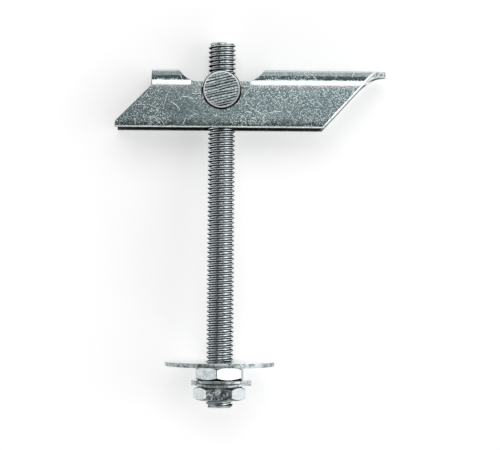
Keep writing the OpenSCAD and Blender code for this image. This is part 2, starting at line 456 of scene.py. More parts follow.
def saw_groove(u, seed):
    """Depth of the saw's marks on an end face, at a distance across them."""
    wide = noise.noise(Vector((u * SAW_WIDE, seed, 0.3)))
    fine = noise.noise(Vector((u * SAW_FINE, seed, 7.7)))
    return SAW_DEPTH * (0.5 + 0.6 * wide + 0.5 * fine)


def cross_nut_mesh():
    bm = bmesh.new()
    half = CROSS_NUT_L / 2
    rings = [(SAWN_R, -half), (CROSS_NUT_R, -half + CROSS_NUT_CHAMFER),
             (CROSS_NUT_R, half - CROSS_NUT_CHAMFER), (SAWN_R, half)]
    loops = [[bm.verts.new((r * cos(a), y, r * sin(a))) for a in circle(CROSS_NUT_STEPS)]
             for r, y in rings]
    for low, high in zip(loops, loops[1:]):
        bridge(bm, low, high)
    for end in (loops[0], loops[-1]):
        bm.faces.new(end)
    return bm


def saw_faces(piece):
    """Cuts the saw's parallel marks into both end faces."""
    bm = bmesh.new()
    bm.from_mesh(piece.data)
    bm.transform(LAID.inverted())
    half = CROSS_NUT_L / 2
    count = int(SAWN_R / SAW_SLICE)
    on_face = NEAR / 10
    for side in (-1, 1):
        for i in range(-count, count + 1):
            faces = [f for f in bm.faces if abs(f.calc_center_median().y - side * half) < on_face]
            around = {e for f in faces for e in f.edges} | {v for f in faces for v in f.verts}
            bmesh.ops.bisect_plane(bm, geom=faces + list(around), dist=CUT_SNAP,
                                   plane_co=SAW_ACROSS * SAW_SLICE * i, plane_no=SAW_ACROSS)
        for v in bm.verts:
            if abs(v.co.y - side * half) < on_face:
                v.co.y -= side * max(0.0, saw_groove(v.co.dot(SAW_ACROSS), 3.0 + side))
    bm.transform(LAID)
    bm.to_mesh(piece.data)
    bm.free()
    shade_smooth(piece.data, 28)


def bore_cross_nut(piece):
    """Drills the rod's hole through the cross nut."""
    bm = bmesh.new()
    bmesh.ops.create_cone(bm, cap_ends=True, segments=BORE_STEPS, radius1=NUT_BORE,
                          radius2=NUT_BORE, depth=2 * CROSS_NUT_R + 2)
    subtract(piece, bm)


# ---- Washers
WASHER_STEPS = 144
SHARP_RIM = 0.05  # rounding of a washer's upper, sheared rims
RIM_ZONE = 0.3  # only the rim is worn uneven
RIM_WEAR = 0.02
WEAR_ROUND, WEAR_UP = 9, 5  # how quickly the wear changes round the rim and up it


def stamped_section(outer, thick, roll):
    """Section of a stamped washer as (radius, height), rolled below and sharp above."""
    top = thick - SHARP_RIM
    lower_out = arc((outer - roll, roll), roll, -90, 0, 4)
    upper_out = arc((outer - SHARP_RIM, top), SHARP_RIM, 0, 90, 2)
    upper_in = arc((WASHER_BORE + SHARP_RIM, top), SHARP_RIM, 90, 180, 2)
    lower_in = arc((WASHER_BORE + roll / 2, roll / 2), roll / 2, 180, 270, 3)
    return lower_out + upper_out + upper_in + lower_in


def washer_mesh(outer, thick, low, roll, seed, shift=0.0, rise=0.0, turn=0.0):
    """A stamped washer, flat or pressed into waves, with its rim a little uneven."""
    section = stamped_section(outer, thick, roll)
    sections = []
    for a in circle(WASHER_STEPS):
        c, s = cos(a), sin(a)
        lift = low + rise * (1 - cos(WAVES * (a - turn)))
        row = []
        for r, z in section:
            if r > outer - RIM_ZONE:
                uneven = noise.noise(Vector((WEAR_ROUND * c, WEAR_ROUND * s, WEAR_UP * z + seed)))
                r -= max(0.0, RIM_WEAR * uneven)
            row.append((r * c + shift, r * s, z + lift))
        sections.append(row)
    return ring_of_sections(sections)


# ---- Thin nuts
NUT_STEPS = 180
NUT_FACE_R = NUT_AF * 0.475
NUT_SLOPE = tan(radians(30))
NUT_SINK = 0.3  # countersink of the bore
NUT_SOFT = 0.06  # worn rounding of the chamfer's edges
NUT_CORNER_R = 0.35


def hexagon_radius(a):
    """Radius of the nut's hexagon, with one of its rounded corners at angle 0."""
    half_side = pi / 6
    turn = (a + half_side) % (2 * half_side) - half_side
    centre = (NUT_AF / 2 - NUT_CORNER_R) / cos(half_side)
    tangent = atan2(NUT_CORNER_R * 0.5, centre + NUT_CORNER_R * cos(half_side))
    if abs(turn) < tangent:
        away = sqrt(NUT_CORNER_R ** 2 - (centre * sin(turn)) ** 2)
        return centre * cos(turn) + away
    return NUT_AF / 2 / cos(half_side - abs(turn))


def nut_mesh(low, turn):
    """Thin hexagon nut with both faces chamfered and a countersunk bore."""
    sections = []
    for a in circle(NUT_STEPS):
        wall = hexagon_radius(a - turn)
        drop = (wall - NUT_FACE_R) * NUT_SLOPE
        half = [(NUT_BORE, NUT_SINK), (NUT_BORE + NUT_SINK, 0), (NUT_FACE_R - NUT_SOFT, 0),
                (NUT_FACE_R + NUT_SOFT, NUT_SOFT * NUT_SLOPE),
                (wall - NUT_SOFT, drop - NUT_SOFT * NUT_SLOPE), (wall, drop + NUT_SOFT)]
        row = half + [(r, NUT_H - z) for r, z in reversed(half)]
        sections.append([(r * cos(a), r * sin(a), z + low) for r, z in row])
    return ring_of_sections(sections)


# ---- Shader helpers
def plug(tree, target, values):
    """Links or sets a node's inputs. A set colour is given as three numbers."""
    for key, value in values.items():
        socket = target.inputs[key]
        if isinstance(value, bpy.types.NodeSocket):
            tree.links.new(value, socket)
        elif socket.type == "RGBA":
            socket.default_value = (*value, 1)
        else:
            socket.default_value = value


def node(tree, kind, values=None, **settings):
    """Adds a node. values go to its inputs, and settings to its own properties."""
    made = tree.nodes.new("ShaderNode" + kind)
    set_all(made, settings)
    plug(tree, made, values or {})
    return made


def maths(tree, operation, a, b=0.0):
    return node(tree, "Math", {0: a, 1: b}, operation=operation).outputs[0]


def chain(tree, operation, values):
    """Takes any number of values through one operation, in their order."""
    result = values[0]
    for value in values[1:]:
        result = maths(tree, operation, result, value)
    return result


def times(tree, *values):
    return chain(tree, "MULTIPLY", values)


def most(tree, *values):
    return chain(tree, "MAXIMUM", values)


def minus(tree, a, b):
    return maths(tree, "SUBTRACT", a, b)


def size_of(tree, value):
    """A number without its sign."""
    return maths(tree, "ABSOLUTE", value)


def vector_maths(tree, operation, values):
    return node(tree, "VectorMath", values, operation=operation).outputs


def crossed(tree, a, b):
    return vector_maths(tree, "CROSS_PRODUCT", {0: a, 1: b})[0]


def dot(tree, a, b):
    return vector_maths(tree, "DOT_PRODUCT", {0: a, 1: b})["Value"]


def length(tree, a):
    return vector_maths(tree, "LENGTH", {0: a})["Value"]


def smooth(tree, value, low, high, bottom=0.0, top=1.0):
    """Maps value from low..high to bottom..top, easing at both ends."""
    span = {"Value": value, "From Min": low, "From Max": high, "To Min": bottom, "To Max": top}
    eased = node(tree, "MapRange", span, interpolation_type="SMOOTHSTEP")
    return eased.outputs["Result"]


def from_to(tree, share, bottom, top):
    """bottom where a share is 0, top where it is 1."""
    return smooth(tree, share, 0.0, 1.0, bottom, top)


def stripe(tree, value, low, high, ease):
    """1 between low and high, easing off outside them."""
    return times(tree, smooth(tree, value, low - ease, low), smooth(tree, value, high + ease, high))


def blend(tree, share, a, b, mode="MIX"):
    """Colour a where the share is 0, b where it is 1."""
    mix = node(tree, "Mix", {0: share, 6: a, 7: b}, data_type="RGBA", blend_type=mode)
    return mix.outputs[2]


def coated(tree, colour, *coats):
    """A colour under coats, each given as how much it covers and its colour."""
    for share, coat in coats:
        colour = blend(tree, share, colour, coat)
    return colour


def shaded(tree, colour, factor):
    """A colour made darker or lighter by a factor."""
    return blend(tree, 1.0, colour, factor, "MULTIPLY")


def noise_fac(tree, place, scale, detail=2.0, rough=0.5, distortion=0.0):
    values = {"Vector": place, "Scale": scale, "Detail": detail, "Roughness": rough,
              "Distortion": distortion}
    return node(tree, "TexNoise", values).outputs["Fac"]


def combined(tree, **parts):
    return node(tree, "CombineXYZ", parts).outputs[0]


def bump(tree, height, distance, strength):
    values = {"Height": height, "Distance": distance, "Strength": strength}
    return node(tree, "Bump", values).outputs["Normal"]


def measured(tree, place, axis):
    """Distance of a point from the pivot along an axis, in millimetres."""
    offset = vector_maths(tree, "SUBTRACT", {0: place, 1: PIVOT})[0]
    return maths(tree, "DIVIDE", dot(tree, offset, axis), MM)


def share_along(tree, direction, axis):
    """How nearly a direction points along an axis, either way, from 0 to 1."""
    return size_of(tree, dot(tree, direction, axis))


def empty_tree(owner):
    """The node tree of a material or world, with nothing in it."""
    owner.use_nodes = True
    owner.node_tree.nodes.clear()
    return owner.node_tree


def new_material(name):
    material = bpy.data.materials.new(name)
    tree = empty_tree(material)
    shader = tree.nodes.new("ShaderNodeBsdfPrincipled")
    node(tree, "OutputMaterial", {"Surface": shader.outputs["BSDF"]})
    coordinates = node(tree, "TexCoord").outputs
    return material, tree, shader, coordinates["Object"], coordinates["Normal"]


# ---- Shared effects
HAIR_CURL = 1.5  # how strongly the most curved hairs curl
HAIR_CORE = 0.4  # share of its width at which a hair is at full strength
HAIR_TIP = 0.55  # share of its length at which a hair starts to fade
HAIR_FAINTEST = 0.35


def new_group(name, vectors, numbers, output):
    """An empty shader group with vector inputs, number inputs and one number output."""
    group = bpy.data.node_groups.new(name, "ShaderNodeTree")
    for label in vectors:
        group.interface.new_socket(label, in_out="INPUT", socket_type="NodeSocketVector")
    for label, value in numbers.items():
        socket = group.interface.new_socket(label, in_out="INPUT", socket_type="NodeSocketFloat")
        socket.default_value = value
    group.interface.new_socket(output, in_out="OUTPUT", socket_type="NodeSocketFloat")
    return group, group.nodes.new("NodeGroupInput").outputs, group.nodes.new("NodeGroupOutput")


def make_scratches_group():
    """Fine curved scratches from tumbling: a short hair in each of many small cells."""
    numbers = {"Scale": 350, "Reach": 0.5, "Width": 0.04, "Amount": 0.5}
    group, given, out = new_group("tumble_scratches", ("Vector", "Facing"), numbers, "Mask")
    at, facing = given["Vector"], given["Facing"]
    scale, reach, width, amount = (given[label] for label in numbers)
    cell = node(group, "TexVoronoi", {"Vector": at, "Scale": scale}, feature="F1").outputs
    chance = node(group, "SeparateColor", {"Color": cell["Color"]}).outputs
    offset = vector_maths(group, "SUBTRACT", {0: at, 1: cell["Position"]})[0]
    near = vector_maths(group, "SCALE", {0: offset, "Scale": scale})[0]
    tilt = vector_maths(group, "SUBTRACT", {0: cell["Color"], 1: (0.5, 0.5, 0.5)})[0]
    across = vector_maths(group, "NORMALIZE", {0: crossed(group, facing, tilt)})[0]
    u = dot(group, near, crossed(group, facing, across))
    v = dot(group, near, across)
    curl = times(group, minus(group, chance["Red"], 0.5), HAIR_CURL)
    away = size_of(group, maths(group, "ADD", v, times(group, curl, times(group, u, u))))
    line = smooth(group, away, width, times(group, width, HAIR_CORE))
    ends = smooth(group, size_of(group, u), reach, times(group, reach, HAIR_TIP))
    struck = maths(group, "LESS_THAN", chance["Blue"], amount)
    spread = times(group, chance["Green"], 1 - HAIR_FAINTEST)
    force = maths(group, "ADD", HAIR_FAINTEST, spread)
    plug(group, out, {"Mask": times(group, line, ends, struck, force)})
    return group


def make_distance_group(name, axis):
    """Distance of a point from an axis through the pivot, in metres."""
    group, given, out = new_group(name, ("Vector",), {}, "Distance")
    offset = vector_maths(group, "SUBTRACT", {0: given["Vector"], 1: PIVOT})[0]
    plug(group, out, {"Distance": length(group, crossed(group, offset, axis))})
    return group


SCRATCHES = make_scratches_group()
FROM_AXIS = make_distance_group("from_rod_axis", ROD_AXIS)
FROM_PIVOT = make_distance_group("from_pivot_axis", PIN_AXIS)


def effect(tree, group, **values):
    """Adds a shared effect and gives back its only output."""
    return node(tree, "Group", values, node_tree=group).outputs[0]


# ---- Shared marks
# Noise scales are to the metre.
LONG_HAIRS = (300, 0.55, 0.03)  # cells to the metre, reach and width in cells
SHORT_HAIRS = (700, 0.45, 0.06)
FLECKS = (1500, 0.34, 0.15)
DOTS = (2500, 0.3, 0.32)
FLECKS_TO_DOTS = 0.45
WORN_PATCHES, WORN_SHARE = 130, (0.4, 0.58, 0.3, 1)
BARE_SCRATCH = (0.93, 0.95, 0.95)
SMALL_SPECK = (0.1, 0.12, 0.125)
SPECK_BUMP, MARK_BUMP = (0.000006, 0.5), (0.00003, 0.6)  # metres, strength
SHEET_METAL, SMALL_METAL = 0.9, 0.92
MARK_METAL = 0.25  # the light marks mirror less than the steel round them


def scuffs(tree, place, facing, hairs, dots):
    """The light marks of tumbling: long hairs, and patches of finer marks."""
    def marks(kind, amount):
        scale, reach, width = kind
        return effect(tree, SCRATCHES, Vector=place, Facing=facing, Scale=scale, Reach=reach,
                      Width=width, Amount=amount)
    worn = smooth(tree, noise_fac(tree, place, WORN_PATCHES), *WORN_SHARE)
    flecks = marks(FLECKS, times(tree, dots, FLECKS_TO_DOTS))
    fine = most(tree, marks(SHORT_HAIRS, hairs), flecks, marks(DOTS, dots))
    return most(tree, marks(LONG_HAIRS, hairs), times(tree, fine, worn))


def grainy(tree, place, colour, low, high):
    """The plating's fine grain, darker in its pits and lighter on its grains."""
    grain = smooth(tree, noise_fac(tree, place, 2600, 2, 0.6), 0.35, 0.65, low, high)
    return shaded(tree, colour, grain)


def mottling(tree, place, scale):
    """Soft patches in the plating's tone."""
    return smooth(tree, noise_fac(tree, place, scale, 3, 0.65), 0.32, 0.68)


def specks(tree, place, scale, low, high, detail=3.0):
    """Small sharp specks, where the noise passes from low to high."""
    return smooth(tree, noise_fac(tree, place, scale, detail, 0.7), low, high)


# ---- Bar's steel
# Its zones are in millimetres from the pivot: the two places that smooth runs between, and its
# values there if they aren't 0 and 1. A stripe's third number is how far it eases off.
SHEET_TONES = (0.32, 0.435, 0.465), (0.45, 0.56, 0.57)
SHEET_GRAIN = (0.62, 1.18)
# Painted shade: the sheet is painted darker towards the tail and lighter towards the nose.
SHADE_TAIL_TO_NOSE = (-22, 16, 0.8, 1.13)
# Painted dark reflection: a darker band painted high on the bend.
DARK_REFLECTION_BAND = (2.9, 3.9, 0.2)  # high on the bend
BAND_SHADE = 0.66
RAGGED = 1.3  # how far the zones' borders wander
# Painted highlight: a pale band painted along the bend, and along the web's top edge.
HIGHLIGHT_LOW, HIGHLIGHT_HIGH = (-0.4, 1.2), (2.1, 1.75)
CLEAR_OF_NUT = (5.5, 7.8)
WEB_EDGE = (4.0, 4.2)
HAIRS_TO_EDGE = (3.5 - EDGE_DROP, 1.0 - EDGE_DROP, 0.36, 0.6)
DOTS_TO_EDGE = (4.5 - EDGE_DROP, 1.0 - EDGE_DROP, 0.55, 0.85)
PITTED_EDGE = (2.4 - EDGE_DROP, 0.6 - EDGE_DROP)
# Painted dark reflection: dark specks in a line just above the highlight on the bend. The pits
# along the lower edge are the sheet's own.
BEND_SHADE_SPECKS = (2.1, 2.4, 0.18)
PITTED_SHARE, CUT_PITTED_SHARE = 0.88, 0.75
SHADE_SHARE, SHADE_ROUGH, BEND_ROUGH, MARK_ROUGH = 0.93, 0.45, 0.3, (0.2, 0.42)
EDGE_SHADE = (1.3 - EDGE_DROP, 0.5 - EDGE_DROP, 0.0, 0.45)
# Painted shade: the faces inside the channel, the punched holes' walls and the faces that face down
# the rod are painted near-black.
INTO_SHEET = (0.2, 0.05)  # how far the inside's tone reaches into it
# Painted light: the inside faces just behind the nose's cut are painted pale, paler lower down.
PALE_NOSE = (NOSE_LINE - 0.9, NOSE_LINE - 0.3)  # behind the nose's cut
PALE_TONE = (1.6, 0.3, 0.78, 0.97)
HOLE_WALL = (0.11, 0.03)
FACES_DOWN = (0.75, 0.95)
# Painted light: the web's cut faces at the nose are painted pale, with dark pits.
FACES_AHEAD = (0.35, 0.55)
WEB_CUT = (2.9, 3.2)
# A painted highlight runs along each punch mark's foot, with painted shade on the lip under it.
MARK_EASE, MARK_FACE, MARK_LINE, MARK_SOFT = 0.12, 0.35, 0.12, 0.08
LIP_FROM, LIP_TO, LIP_SHADE = 0.34, 0.2, 0.7

# Pale colour of the painted highlight on the bend and the web's top edge.
SHEET_HIGHLIGHT = (0.62, 0.65, 0.65)
SHEET_SCRATCH = (0.95, 0.98, 0.97)
SHEET_PRESSED = (0.78, 0.85, 0.85)
# Dark specks, and the painted shade under the punch marks.
SHEET_SPECK_AND_SHADE = (0.08, 0.1, 0.1)
# Near-black for pits, for the painted shade along the lower edge and for the painted dark line on
# the bend.
SHEET_PIT_AND_SHADE = (0.05, 0.07, 0.07)
# Near-black of the painted shade inside the channel, on the holes' walls and on faces that face
# down the rod.
SHEET_SHADE = (0.03, 0.035, 0.035)
SHEET_LIT_CUT = (0.62, 0.68, 0.68)


def sheet_tone_and_shade(tree, place, along, height):
    """Blue-grey plating, with painted shade that deepens it towards the tail, and a painted dark
    reflection in a band on the bend.
    """
    tone = smooth(tree, noise_fac(tree, place, 90, 3, 0.6), 0.3, 0.7)
    base = grainy(tree, place, blend(tree, tone, *SHEET_TONES), *SHEET_GRAIN)
    base = shaded(tree, base, smooth(tree, along, *SHADE_TAIL_TO_NOSE))
    return shaded(tree, base, from_to(tree, stripe(tree, height, *DARK_REFLECTION_BAND), 1.0, BAND_SHADE))


def painted_bend_highlight(tree, along, ragged):
    """A painted highlight along the bend, away from the cross nut."""
    highlighted = times(tree, smooth(tree, ragged, *HIGHLIGHT_LOW),
                   smooth(tree, ragged, *HIGHLIGHT_HIGH))
    return times(tree, highlighted, smooth(tree, size_of(tree, along), *CLEAR_OF_NUT))


def pressed_marks_and_shade(tree, along, height):
    """Where the punch struck beside the cross nut, with a painted highlight along each mark's foot
    and painted shade on the lip under each mark.
    """
    pressed_and_glint, lips = [], []
    for side, width, tall in CRADLE_MARKS:
        near, far = sorted((side * CROSS_NUT_R, side * (CROSS_NUT_R + width)))
        across = stripe(tree, along, near, far, MARK_EASE)
        foot = CRADLE_H - tall
        face = times(tree, stripe(tree, height, foot, CRADLE_H, MARK_EASE), MARK_FACE)
        # painted highlight along the foot of the mark
        line = stripe(tree, height, foot, foot + MARK_LINE, MARK_SOFT)
        # painted shade on the lip under the mark
        lip = stripe(tree, height, foot - LIP_FROM, foot - LIP_TO, MARK_SOFT)
        pressed_and_glint.append(times(tree, across, most(tree, face, line)))
        lips.append(times(tree, across, lip))
    return most(tree, *pressed_and_glint), most(tree, *lips)


def inside_channel(tree, place, height):
    """The faces that look into the channel, between the walls and under the web."""
    depth = size_of(tree, measured(tree, place, PIN_AXIS))
    wall, web = WALL_Y - SHEET_T, WEB_TOP - SHEET_T
    between_walls = smooth(tree, depth, *(wall + into for into in INTO_SHEET))
    under_web = smooth(tree, height, *(web + into for into in INTO_SHEET))
    return times(tree, between_walls, under_web)


def bar_steel():
    """Zinc-plated sheet: blue-grey, scuffed all over, with painted highlights on its bends and
    painted shade inside.
    """
    material, tree, shader, place, facing = new_material("bar_steel")
    height = measured(tree, place, ROD_AXIS)
    along = measured(tree, place, BAR_AXIS)
    wander = times(tree, minus(tree, noise_fac(tree, place, 1100, 3, 0.7), 0.5), RAGGED)
    ragged = maths(tree, "ADD", height, wander)

    # Painted highlight on the bend and along the web's top edge.
    bend = painted_bend_highlight(tree, along, ragged)
    highlighted = most(tree, bend, smooth(tree, height, *WEB_EDGE))
    marks = scuffs(tree, place, facing, smooth(tree, height, *HAIRS_TO_EDGE),
                   smooth(tree, height, *DOTS_TO_EDGE))
    pressed_and_glint, lip = pressed_marks_and_shade(tree, along, height)
    speckle = specks(tree, place, 1900, 0.47, 0.56, 2.0)
    # Pits along the lower edge, and a painted dark reflection of specks in a line on the bend.
    pits_and_bend_shade = most(tree, smooth(tree, height, *PITTED_EDGE), stripe(tree, height, *BEND_SHADE_SPECKS))

    # Painted shade: inside the channel, on the punched holes' walls and on faces that face down the
    # rod, but not just behind the nose.
    inside = inside_channel(tree, place, height)
    # Painted light: just behind the nose's cut the inside faces are painted pale, not shaded.
    past_cut = minus(tree, along, maths(tree, "DIVIDE", height, tan(NOSE_ANGLE)))
    at_nose = smooth(tree, past_cut, *PALE_NOSE)
    inside_shade = times(tree, inside, minus(tree, 1.0, at_nose))
    sheared = smooth(tree, dot(tree, facing, -ROD_AXIS), *FACES_DOWN)
    from_pivot = effect(tree, FROM_PIVOT, Vector=place)
    hole_wall = smooth(tree, from_pivot, *((HOLE_R + out) * MM for out in HOLE_WALL))
    painted_shade = most(tree, inside_shade, sheared, hole_wall)
    web_cut = times(tree, smooth(tree, dot(tree, facing, BAR_AXIS), *FACES_AHEAD),
                    smooth(tree, height, *WEB_CUT))
    cut_colour = blend(tree, times(tree, speckle, CUT_PITTED_SHARE), SHEET_LIT_CUT, SHEET_SPECK_AND_SHADE)

    colour = coated(
        tree, sheet_tone_and_shade(tree, place, along, height), (highlighted, SHEET_HIGHLIGHT),
        (marks, SHEET_SCRATCH), (pressed_and_glint, SHEET_PRESSED),
        (times(tree, lip, LIP_SHADE), SHEET_SPECK_AND_SHADE),
        (times(tree, pits_and_bend_shade, speckle, PITTED_SHARE), SHEET_PIT_AND_SHADE),
        (smooth(tree, ragged, *EDGE_SHADE), SHEET_PIT_AND_SHADE),
        (times(tree, inside, at_nose), smooth(tree, height, *PALE_TONE)),
        (times(tree, painted_shade, SHADE_SHARE), SHEET_SHADE), (web_cut, cut_colour))
    rough = most(tree, from_to(tree, marks, *MARK_ROUGH), times(tree, painted_shade, SHADE_ROUGH),
                 times(tree, bend, BEND_ROUGH))
    plug(tree, shader, {
        "Base Color": colour, "Roughness": rough, "Normal": bump(tree, marks, *MARK_BUMP),
        "Metallic": from_to(tree, marks, SHEET_METAL, MARK_METAL)})
    return material


def bevel_steel(name, tones, rough, hairs, dots, speckled):
    """The bar's bevels: mottled, with small dark specks and a few scratches."""
    material, tree, shader, place, facing = new_material(name)
    marks = scuffs(tree, place, facing, hairs, dots)
    speckle = specks(tree, place, 1700, 0.52, 0.62)
    colour = coated(
        tree, blend(tree, mottling(tree, place, 420), *tones), (marks, BARE_SCRATCH),
        (times(tree, speckle, speckled), SMALL_SPECK))
    plug(tree, shader, {
        "Base Color": colour, "Roughness": from_to(tree, marks, rough, rough + 0.2),
        "Metallic": SMALL_METAL, "Normal": bump(tree, speckle, *SPECK_BUMP)})
    return material


# ---- Small parts
NUT_TONES = (0.69, 0.76, 0.785), (0.85, 0.9, 0.91)
# Painted dark reflection on the flat that faces straight up.
NUT_UPPER_SHADE = (0.18, 0.26, 0.285)
# Painted shade on the chamfers and their rounded edges.
NUT_EDGE_SHADE = (0.03, 0.036, 0.036)
NUT_GRAZING = (0.6, 0.6, 0.6)  # how much the nuts mirror edge on
NUT_EDGE_SHADE_LEAN, NUT_CHAMFER_LEAN = (0.2, 0.7, 0.12), (0.7, 0.89, 0.06)  # share_along the rod
NUT_UPPER_LEAN, NUT_SMUDGES, NUT_SMEARS = (0.88, 0.96), (0.535, 0.6), (0.4, 0.62)
NUT_CHAMFER_SHADE = 0.78
SPECKS_ON_BRIGHT = 0.3  # share of a nut's specks that its bright flats have
WASHER_FACE = (0.74, 0.76, 0.76), (0.92, 0.93, 0.93)
WASHER_RIM = (0.31, 0.37, 0.38), (0.62, 0.67, 0.67)
WASHER_SPECK = (0.08, 0.1, 0.105)
WASHER_RIM_LEAN = (0.85, 0.5)
# Painted shade on the flanks, and painted highlights on the crests and roots.
THREAD_FLANK_SHADE = (0.015, 0.018, 0.02), (0.05, 0.055, 0.058)
THREAD_HIGHLIGHT = (0.78, 0.87, 0.89), (0.95, 1.0, 1.0)
THREAD_END = (0.34, 0.36, 0.36), (0.62, 0.64, 0.64)
THREAD_SHADE = (0.02, 0.022, 0.024)
THREAD_GRAZING = (0.12, 0.12, 0.12)  # how little the thread mirrors edge on
FINE_BUMP, STROKE_BUMP = (0.00001, 0.4), (0.00002, 0.4)
CREST_ZONE, ROOT_ZONE = (-0.12, -0.06), (0.12, 0.06)  # from the crest, from the root
THREAD_END_LEAN, THREAD_EDGE_ON = (0.93, 0.98), (0.66, 0.82)
SAWN_TONES = (0.025, 0.035, 0.035), (0.61, 0.71, 0.72)
# Painted highlight round the rim of each end face.
SAWN_RIM_HIGHLIGHT = (0.95, 0.95, 0.95)
SAWN_SIDE = (0.45, 0.47, 0.47)
# Painted shade on the outer chamfer.
SAWN_CHAMFER_SHADE = (0.01, 0.012, 0.012)
STROKE_LENGTH = 0.09  # a stroke changes this much as fast along itself as across
STROKE_WANDER = 9.0
RIM_HIGHLIGHT_LINE = (SAWN_R - 0.13, SAWN_R + 0.1, 0.05)
RIM_OUTSIDE = (SAWN_R + 0.12, SAWN_R + 0.2)
SAWN_SLOPE_LEAN, STROKE_CUT = (0.3, 0.5), (-0.8, 0.2)


def nut_steel(name, hairs, dots, speckled, smudges, upper_shade):
    """Thin nuts: bright flats, painted shade on the chamfers and their edges, and on a nut given it
    a painted dark reflection on its smudged upper flat.
    """
    material, tree, shader, place, facing = new_material(name)
    upper_flat = smooth(tree, share_along(tree, facing, UP), *NUT_UPPER_LEAN)
    smudged = smooth(tree, noise_fac(tree, place, 950, 3, 0.7, 0.5), *NUT_SMUDGES)
    marks = most(tree, scuffs(tree, place, facing, hairs, dots), times(tree, smudged, smudges))
    speckle = specks(tree, place, 1900, 0.54, 0.62)
    share = from_to(tree, upper_flat, SPECKS_ON_BRIGHT * speckled, speckled)
    lean = share_along(tree, facing, ROD_AXIS)
    # Painted shade on the chamfers and on the rounded edges beside them.
    chamfer = times(tree, stripe(tree, lean, *NUT_CHAMFER_LEAN), NUT_CHAMFER_SHADE)
    chamfer_shade = most(tree, stripe(tree, lean, *NUT_EDGE_SHADE_LEAN), chamfer)
    colour = coated(
        tree, blend(tree, mottling(tree, place, 420), *NUT_TONES),
        (times(tree, upper_flat, upper_shade), NUT_UPPER_SHADE), (marks, BARE_SCRATCH),
        (times(tree, speckle, share), SMALL_SPECK), (chamfer_shade, NUT_EDGE_SHADE))
    smear = smooth(tree, noise_fac(tree, place, 1300, 4, 0.75, 0.4), *NUT_SMEARS)
    plug(tree, shader, {
        "Base Color": colour, "Roughness": from_to(tree, smear, 0.08, 0.36),
        "Metallic": from_to(tree, marks, SMALL_METAL, MARK_METAL),
        "Specular Tint": NUT_GRAZING, "Normal": bump(tree, speckle, *SPECK_BUMP)})
    return material


def washer_steel():
    """Stamped washers: bright faces, and duller rims with dark specks."""
    material, tree, shader, place, facing = new_material("washer_steel")
    rim = smooth(tree, share_along(tree, facing, ROD_AXIS), *WASHER_RIM_LEAN)
    tone = mottling(tree, place, 500)
    speckle = specks(tree, place, 1500, 0.5, 0.6)
    colour = coated(
        tree, blend(tree, tone, *WASHER_FACE), (rim, blend(tree, tone, *WASHER_RIM)),
        (scuffs(tree, place, facing, 0.2, 0.3), BARE_SCRATCH),
        (times(tree, speckle, from_to(tree, rim, 0.1, 0.75)), WASHER_SPECK))
    plug(tree, shader, {
        "Base Color": colour, "Roughness": from_to(tree, rim, 0.22, 0.38),
        "Metallic": SMALL_METAL, "Normal": bump(tree, speckle, *SPECK_BUMP)})
    return material


def thread_steel():
    """Rolled thread: painted highlights on the crests and roots, painted shade on the flanks, and
    painted shade where it is seen edge on.
    """
    material, tree, shader, place, facing = new_material("thread_steel")
    distance = effect(tree, FROM_AXIS, Vector=place)
    crest = smooth(tree, distance, *((ROD_R + out) * MM for out in CREST_ZONE))
    hollow = smooth(tree, distance, *((ROOT_R + out) * MM for out in ROOT_ZONE))
    from_middle = minus(tree, measured(tree, place, ROD_AXIS), (ROD_TOP + ROD_LOW) / 2)
    chamfer_from = (ROD_TOP - ROD_LOW) / 2 - ROD_CHAMFER
    chamfer = smooth(tree, size_of(tree, from_middle), chamfer_from, chamfer_from + 0.1)
    # Painted highlight on the crests, roots and end chamfers; the flanks between keep the painted
    # shade.
    bright = most(tree, crest, hollow, times(tree, chamfer, 0.5))
    cloud = noise_fac(tree, place, 300, 3, 0.6)
    rings = noise_fac(tree, combined(tree, X=distance), 6000, 3, 0.7)
    cut_end = smooth(tree, share_along(tree, facing, ROD_AXIS), *THREAD_END_LEAN)
    # Painted shade where the thread is seen edge on.
    grazing = node(tree, "LayerWeight", {"Blend": 0.5}).outputs["Facing"]
    colour = coated(
        tree, blend(tree, cloud, *THREAD_FLANK_SHADE), (bright, blend(tree, cloud, *THREAD_HIGHLIGHT)),
        (cut_end, blend(tree, smooth(tree, rings, 0.3, 0.7), *THREAD_END)),
        (times(tree, smooth(tree, grazing, *THREAD_EDGE_ON), 0.9), THREAD_SHADE))
    fine = noise_fac(tree, place, 2500, 2, 0.6)
    plug(tree, shader, {
        "Base Color": colour, "Roughness": from_to(tree, bright, 0.4, 0.14), "Metallic": 0.96,
        "Specular Tint": THREAD_GRAZING, "Normal": bump(tree, fine, *FINE_BUMP)})
    return material


